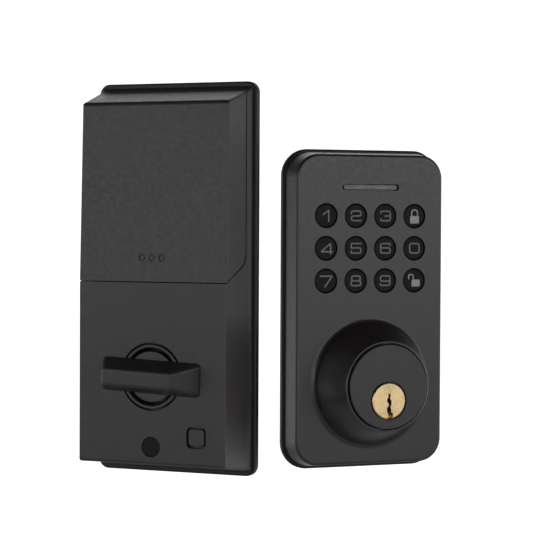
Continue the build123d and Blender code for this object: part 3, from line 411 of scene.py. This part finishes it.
def plate(shape, points, rise, radius):
    """A raised printed area with a soft rim."""
    path = rounded(points, radius, True)
    centre = sum(path, Vector((0, 0))) / len(path)
    rings = []
    for height, size in ((-0.01, 1.0), (rise * 0.7, 0.985), (rise, 0.95)):
        spots = [centre + (point - centre) * size for point in path]
        rings.append([shape.verts.new((spot.x * MM, spot.y * MM, height * MM)) for spot in spots])
    for low, high in zip(rings, rings[1:]):
        for index in range(len(path)):
            after = (index + 1) % len(path)
            shape.faces.new((low[index], low[after], high[after], high[index]))
    shape.faces.new(rings[-1])


def lathe(shape, outline, segments=64):
    """Turns an open (radius, height) outline about z, in millimetres."""
    rings = []
    for radius, height in outline:
        angles = [2 * pi * s / segments for s in range(segments)]
        spots = [(radius * cos(a), radius * sin(a), height) for a in angles]
        rings.append([shape.verts.new(Vector(spot) * MM) for spot in spots])
    for low, high in zip(rings, rings[1:]):
        for index in range(segments):
            after = (index + 1) % segments
            shape.faces.new((low[index], low[after], high[after], high[index]))


def wires(name, runs, radius):
    """Curve data of round wires through the points of each run, in millimetres."""
    data = bpy.data.curves.new(name, "CURVE")
    data.dimensions = "3D"
    data.bevel_depth = radius * MM
    data.bevel_resolution = 3
    data.use_fill_caps = True
    for run in runs:
        spline = data.splines.new("POLY")
        spline.points.add(len(run) - 1)
        for point, spot in zip(spline.points, run):
            point.co = (*(Vector(spot) * MM), 1)
    return data


def helix(turns, low, high, start_r, end_r, per_turn=28, flat_ends=True):
    """Points of a coil about z; its first and last turns lie flat if asked."""
    count = int(turns * per_turn)
    points = []
    for index in range(count + 1):
        t = index / count
        rise = t
        if flat_ends:
            closed = 0.7 / turns
            rise = min(max((t - closed) / (1 - 2 * closed), 0), 1)
        radius = start_r + (end_r - start_r) * t
        angle = 2 * pi * turns * t
        points.append((radius * cos(angle), radius * sin(angle), low + (high - low) * rise))
    return points


# Key legends: lines of the digits, and a padlock closed and open.
W, H = 2.2, 2.0
INK_WIDTH, SHACKLE_WIDTH, INK_RISE = 0.66, 0.58, 0.05
NUDGE = 0.25  # the legends stand this far right of the keys' centres
BOX = [(-W, -H), (W, -H), (W, H), (-W, H)]
DIGITS = {
    "key_1": [([(-1.4, 0.6), (1.0, 2.3), (1.0, -2.35)], False, 0.1)],
    "key_2": [([(-W, 0.9), (-W, H), (W, H), (W, 0), (-W, -0.1), (-W, -H), (W + 0.1, -H)], False, 0.9)],
    "key_3": [([(-W, 1.2), (-W, H), (W, H), (W, -H), (-W, -H), (-W, -1.2)], False, 0.95),
              ([(-0.3, 0), (W - 0.3, 0)], False, 0.5)],
    "key_4": [([(1.9, -2.4), (1.9, 2.1), (-2.4, -1.4), (2.7, -1.4)], False, 0.15)],
    "key_5": [([(W + 0.2, H), (-W, H), (-W, 0.2)], False, 0.15),
              ([(-W, 0.2), (W, 0.2), (W, -H), (-W, -H), (-W, -1.1)], False, 0.85)],
    "key_6": [([(W, 1.2), (W, H), (-W, H), (-W, -H), (W, -H), (W, 0.2), (-W, 0.2)], False, 0.9)],
    "key_7": [([(-2.6, H), (2.7, H), (-0.6, -2.4)], False, 0.15)],
    "key_8": [([(-1.95, 0), (1.95, 0), (1.95, H), (-1.95, H)], True, 0.85),
              ([(-W, -H), (W, -H), (W, 0), (-W, 0)], True, 0.85)],
    "key_9": [([(-W, -1.2), (-W, -H), (W, -H), (W, H), (-W, H), (-W, -0.2), (W, -0.2)], False, 0.9)],
    "key_0": [(BOX, True, 1.0)],
}
LOCKS = {
    "key_lock": ((0.0, -1.55, 4.2, 3.15), [(-1.35, -0.1), (-1.35, 2.6), (1.35, 2.6), (1.35, -0.1)], 1.33),
    "key_unlock": ((0.7, -1.15, 3.9, 3.0), [(-2.6, 0.7), (-2.6, 2.5), (-0.4, 2.5), (-0.4, 0.3)], 1.08),
}

for key, lines in DIGITS.items():
    (x, y, _), top = middle(key, outside)
    shape = bmesh.new()
    for points, closed, radius in lines:
        stroke(shape, points, INK_WIDTH, INK_RISE, radius, closed)
    name = "legend_" + key[4:]
    piece(name, to_mesh(name, shape), PRINT, outside.flat(x + NUDGE, y, top), key)

for key, ((mid_x, mid_y, wide, tall), shackle, radius) in LOCKS.items():
    (x, y, _), top = middle(key, outside)
    shape = bmesh.new()
    corners = [(mid_x + a * wide / 2, mid_y + b * tall / 2) for a, b in ((-1, -1), (1, -1), (1, 1), (-1, 1))]
    plate(shape, corners, INK_RISE, 0.45)
    stroke(shape, shackle, SHACKLE_WIDTH, INK_RISE, radius)
    name = "icon_" + key[4:]
    piece(name, to_mesh(name, shape), ICON, outside.flat(x + NUDGE, y, top), key)

# Battery bay: printed sleeves on the cells, polarity marks, and wound springs.
(_, _, cell_n), _ = middle("batteries", inside)
CELL_X = (-21.9, -7.3, 7.3, 21.9)
CELL_LOW, CELL_LEN, CAN_R = 45.0, 50.5, 7.2
SPRING_LOW, SPRING_HIGH = 41.2, 96.4
COIL_WIRE_R, THREAD_WIRE_R = 0.25, 0.16
coils = []
for index, cell_x in enumerate(CELL_X):
    down = index % 2 == 1
    foot = CELL_LOW + CELL_LEN if down else CELL_LOW
    shape = bmesh.new()
    lathe(shape, [(6.6, 0.25), (6.95, -0.02), (CAN_R + 0.03, 0.35), (CAN_R + 0.05, 0.9), (CAN_R + 0.05, 48.2),
                  (CAN_R + 0.03, 49.0), (6.9, 49.44), (6.1, 49.46), (6.0, 49.3)])
    piece(f"cell_sleeve_{index + 1}", to_mesh("cell_sleeve", shape), SLEEVE,
          inside.upright(cell_x, foot, cell_n, down), "lock")
    for sign, height in (("plus", 42.5), ("minus", 5.5)):
        shape = bmesh.new()
        stroke(shape, [(-1.5, 0), (1.5, 0)], 0.8, 0.03)
        if sign == "plus":
            stroke(shape, [(0, -1.5), (0, 1.5)], 0.8, 0.03)
        mark_y = foot - height if down else foot + height
        piece(f"cell_{sign}_{index + 1}", to_mesh(f"cell_{sign}", shape), MARK,
              inside.flat(cell_x, mark_y, cell_n + CAN_R + 0.055), "lock")
    room = SPRING_HIGH - CELL_LOW - CELL_LEN if down else CELL_LOW - SPRING_LOW
    turns = 1.6 if down else 3.4
    base = SPRING_HIGH if down else SPRING_LOW
    place = inside.upright(cell_x, base, cell_n, down)
    run = helix(turns, COIL_WIRE_R + 0.01, room - COIL_WIRE_R - 0.01, 4.1, 3.0 if down else 2.6)
    coils.append([place @ (Vector(spot) * MM) / MM for spot in run])
coil_wires = wires("battery_coils", coils, COIL_WIRE_R)
springs = piece("battery_coils", coil_wires, FINISHES["contact_nickel"], Matrix(), "lock")
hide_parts("battery_springs")

# Threads inside the bolt posts.
bolts = mount("exterior_bolts")
half = bolts["dims"]["spacing_x_mm"] / 2
threads = []
for x in (-half, half):
    threads.append([(x + a, -c, b) for a, b, c in helix(24, -19.7, -0.6, 2.1, 2.1, 20, False)])
piece("post_threads", wires("post_threads", threads, THREAD_WIRE_R), FINISHES["bare_steel"], Matrix(), "lock")


# ---- camera, light and floor --------------------------------------------------------------------

LOOK_AZIMUTH, PITCH, ROLL = radians(22.44), radians(-1.343), radians(0.279)
LENS, SENSOR = 138.71, 36
CAMERA_PLACE = (-368.33, -791.27, 74.61)
SHIFT = 0.00094  # of the picture's width
LOOK = Vector((sin(LOOK_AZIMUTH), cos(LOOK_AZIMUTH), 0))


def make_camera():
    camera = bpy.data.objects.new("camera", bpy.data.cameras.new("camera"))
    camera.data.lens = LENS
    camera.data.sensor_width = SENSOR
    camera.data.clip_end = 20
    camera.data.shift_x, camera.data.shift_y = -SHIFT, SHIFT
    aim = LOOK * cos(PITCH) + Vector((0, 0, sin(PITCH)))
    camera.matrix_world = (
        Matrix.Translation(Vector(CAMERA_PLACE) * MM)
        @ aim.to_track_quat("-Z", "Y").to_matrix().to_4x4()
        @ Matrix.Rotation(ROLL, 4, "Z")
    )
    bpy.context.scene.collection.objects.link(camera)
    bpy.context.scene.camera = camera


FRONT_LEVEL, BACK_LEVEL, CEILING = 2.1, 1.15, 0.002
LEFT_SHADE, RIGHT_SHADE = 0.12, 0.35


def make_world():
    """A studio room: bright walls in front and behind, darker to the sides, and a dark ceiling."""
    world = bpy.data.worlds.new("studio")
    bpy.context.scene.world = world
    world.use_nodes = True
    tree = world.node_tree
    background = tree.nodes["Background"]
    background.inputs["Color"].default_value = (1, 1, 1, 1)

    def made(kind, **settings):
        node = tree.nodes.new(kind)
        for key, value in settings.items():
            setattr(node, key, value)
        return node

    def ramp(value, start, end, low, high):
        node = made("ShaderNodeMapRange", interpolation_type="SMOOTHSTEP")
        for name, number in zip(("From Min", "From Max", "To Min", "To Max"), (start, end, low, high)):
            node.inputs[name].default_value = number
        tree.links.new(value, node.inputs["Value"])
        return node.outputs["Result"]

    ray = made("ShaderNodeTexCoord").outputs["Generated"]
    split = made("ShaderNodeSeparateXYZ")
    tree.links.new(ray, split.inputs[0])
    ahead = made("ShaderNodeVectorMath", operation="DOT_PRODUCT")
    tree.links.new(ray, ahead.inputs[0])
    ahead.inputs[1].default_value = LOOK
    behind = ramp(ahead.outputs["Value"], 0.1, 0.55, 0.0, 1.0)
    left = ramp(split.outputs["X"], -0.35, 0.2, LEFT_SHADE, 1.0)
    right = ramp(split.outputs["X"], 0.55, 0.85, 1.0, RIGHT_SHADE)
    front = ramp(split.outputs["Z"], 0.02, 0.36, FRONT_LEVEL, CEILING)
    back = ramp(split.outputs["Z"], 0.5, 0.8, BACK_LEVEL, CEILING)
    shaded = made("ShaderNodeMath", operation="MULTIPLY")
    tree.links.new(back, shaded.inputs[0])
    sides = made("ShaderNodeMath", operation="MULTIPLY")
    tree.links.new(left, sides.inputs[0])
    tree.links.new(right, sides.inputs[1])
    tree.links.new(sides.outputs[0], shaded.inputs[1])
    mixed = made("ShaderNodeMix", data_type="FLOAT")
    tree.links.new(behind, mixed.inputs["Factor"])
    tree.links.new(front, mixed.inputs["A"])
    tree.links.new(shaded.outputs[0], mixed.inputs["B"])
    tree.links.new(mixed.outputs["Result"], background.inputs["Strength"])


FLOOR_DROP, FLOOR_HALF = 0.15, 8  # metres: below the lowest point, and half the floor's width


def make_floor():
    """A pale floor, bright where it meets the backdrop."""
    finish = Finish("pale_floor", (0.8, 0.8, 0.8), 0.8, specular=0.1)
    ahead = finish.node("ShaderNodeVectorMath", operation="DOT_PRODUCT")
    finish.link(finish.place, ahead.inputs[0])
    ahead.inputs[1].default_value = LOOK
    glow = finish.span(ahead.outputs["Value"], 0.12, 0.95, 0.0, 0.7, True)
    tone = finish.mix(finish.span(finish.noise(60.0), 0.0, 1.0), (0.79, 0.79, 0.79), (0.81, 0.81, 0.81))
    finish.link(tone, finish.shader.inputs["Base Color"])
    finish.set("Emission Color", (1, 1, 1, 1))
    finish.link(glow, finish.shader.inputs["Emission Strength"])
    grid = bmesh.new()
    bmesh.ops.create_grid(grid, x_segments=1, y_segments=1, size=FLOOR_HALF)
    floor = bpy.data.objects.new("floor", to_mesh("floor", grid, False))
    floor.location = (0, 0, cad_box[0][2] - FLOOR_DROP)
    floor.data.materials.append(finish.material)
    bpy.context.scene.collection.objects.link(floor)


bpy.context.scene.view_settings.view_transform = "Standard"
make_camera()
make_world()
make_floor()
